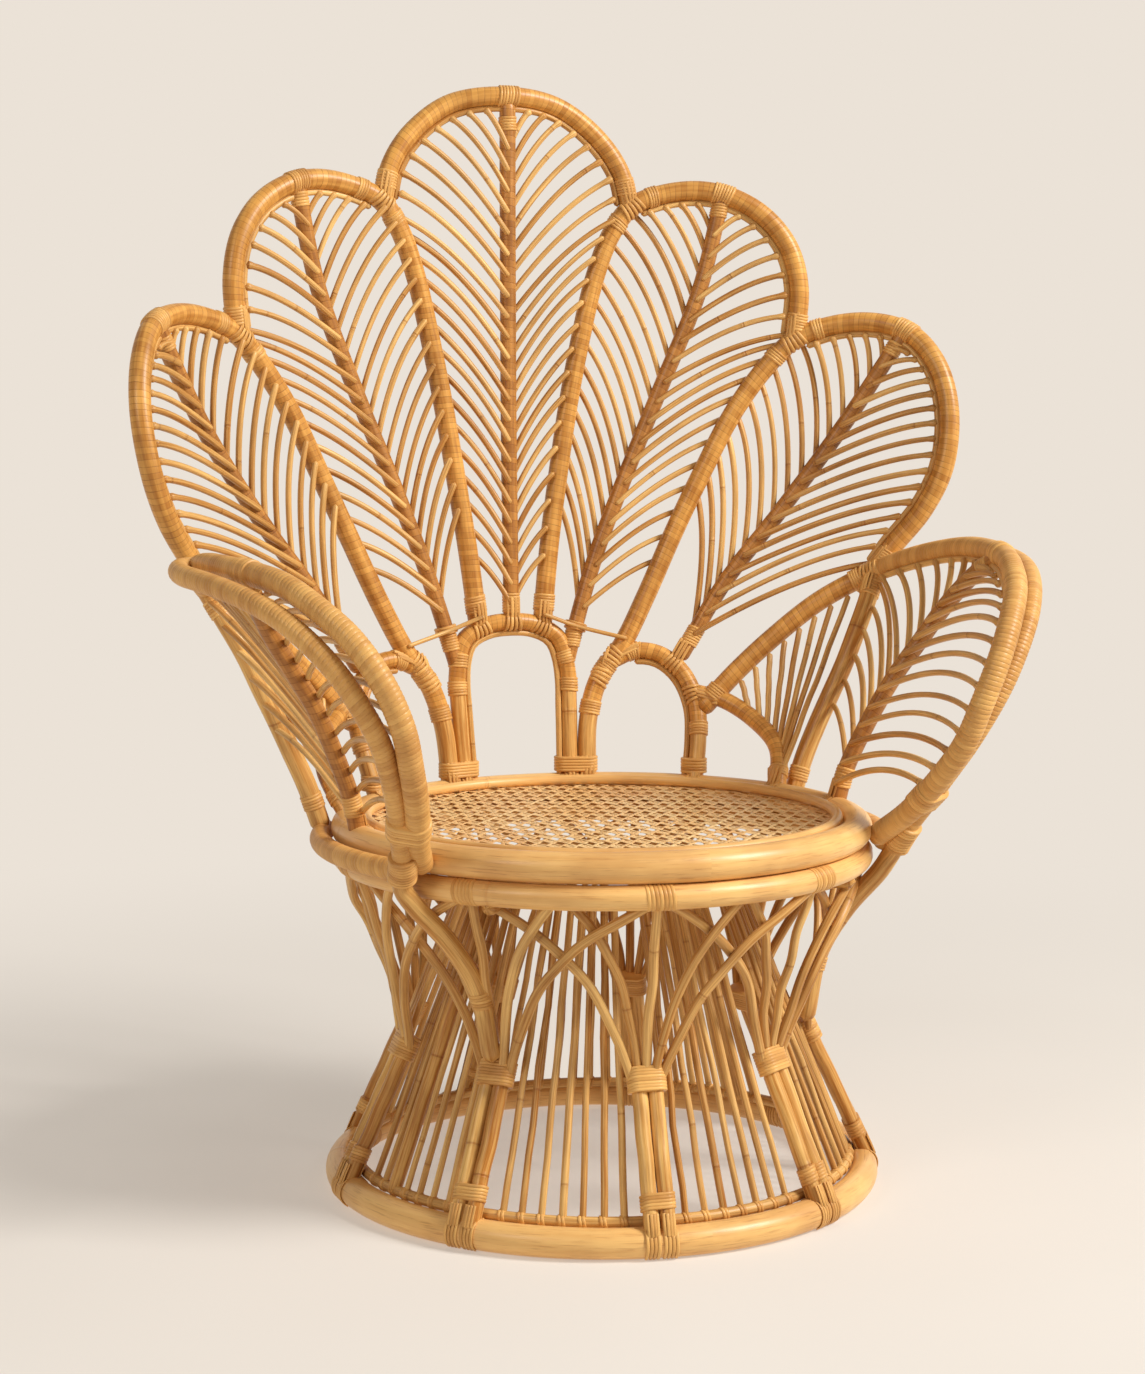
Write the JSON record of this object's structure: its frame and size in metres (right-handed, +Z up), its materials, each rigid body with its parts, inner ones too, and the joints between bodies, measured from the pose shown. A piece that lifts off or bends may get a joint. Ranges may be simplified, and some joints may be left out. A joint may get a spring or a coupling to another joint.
{
  "type": "peacock chair",
  "caption": "Rattan peacock chair with a waisted round base, a caned round seat and a tall back of leaf-shaped petals that turn forward as arms.",
  "frame": {"origin": "on the floor, under the middle of the box round the whole chair", "axes": "+Z up, the front of the chair faces -Y, +X is on the right of someone who looks at its front"},
  "size_m": [1.0508, 0.6704, 1.3024],
  "materials": {
    "wrapped_rattan": "rattan poles wound with varnished rattan peel, honey, satin",
    "polished_rattan": "polished pale rattan poles, glossy varnish",
    "cane": "thin round canes and spindles, satin varnish",
    "cane_webbing": "woven six-way chair cane, satin"
  },
  "bodies": {
    "root": {"floor_ring": "polished_rattan", "upper_seat_ring": "polished_rattan", "lower_seat_ring": "polished_rattan", "cane_web": "cane_webbing", "seat_hoop": "polished_rattan", "arm_rim_right": "wrapped_rattan", "arm_rim_left": "wrapped_rattan", "outer_petal_rim_right": "wrapped_rattan", "outer_petal_rim_left": "wrapped_rattan", "centre_arch": "wrapped_rattan", "inner_petal_rim_right": "wrapped_rattan", "inner_petal_rim_left": "wrapped_rattan", "centre_petal_rim": "wrapped_rattan", "side_arch_right": "wrapped_rattan", "side_arch_left": "wrapped_rattan", "leg_fan_1": "cane", "leg_fan_2": "cane", "leg_fan_3": "cane", "leg_fan_4": "cane", "leg_fan_5": "cane", "leg_fan_6": "cane", "leg_fan_7": "cane", "leg_fan_8": "cane", "leg_fan_9": "cane", "leg_pair_1": "cane", "leg_pair_2": "cane", "leg_pair_3": "cane", "leg_pair_4": "cane", "leg_pair_5": "cane", "leg_pair_6": "cane", "leg_pair_7": "cane", "leg_pair_8": "cane", "leg_pair_9": "cane", "crossed_bars": "cane", "spindle_cage": "cane", "arm_base_rail_right": "wrapped_rattan", "arm_pole_right": "wrapped_rattan", "arm_post_right": "cane", "inner_petal_lining_right": "cane", "outer_petal_lining_right": "cane", "arm_lining_right": "cane", "side_arch_lining_right": "cane", "inner_spine_right": "cane", "outer_spine_right": "cane", "arm_spine_right": "cane", "quarter_arch_right": "wrapped_rattan", "arm_base_rail_left": "wrapped_rattan", "arm_pole_left": "wrapped_rattan", "arm_post_left": "cane", "inner_petal_lining_left": "cane", "outer_petal_lining_left": "cane", "arm_lining_left": "cane", "side_arch_lining_left": "cane", "inner_spine_left": "cane", "outer_spine_left": "cane", "arm_spine_left": "cane", "quarter_arch_left": "wrapped_rattan", "centre_petal_lining": "cane", "centre_arch_lining": "cane", "centre_spine": "cane"}
  },
  "joints": []
}
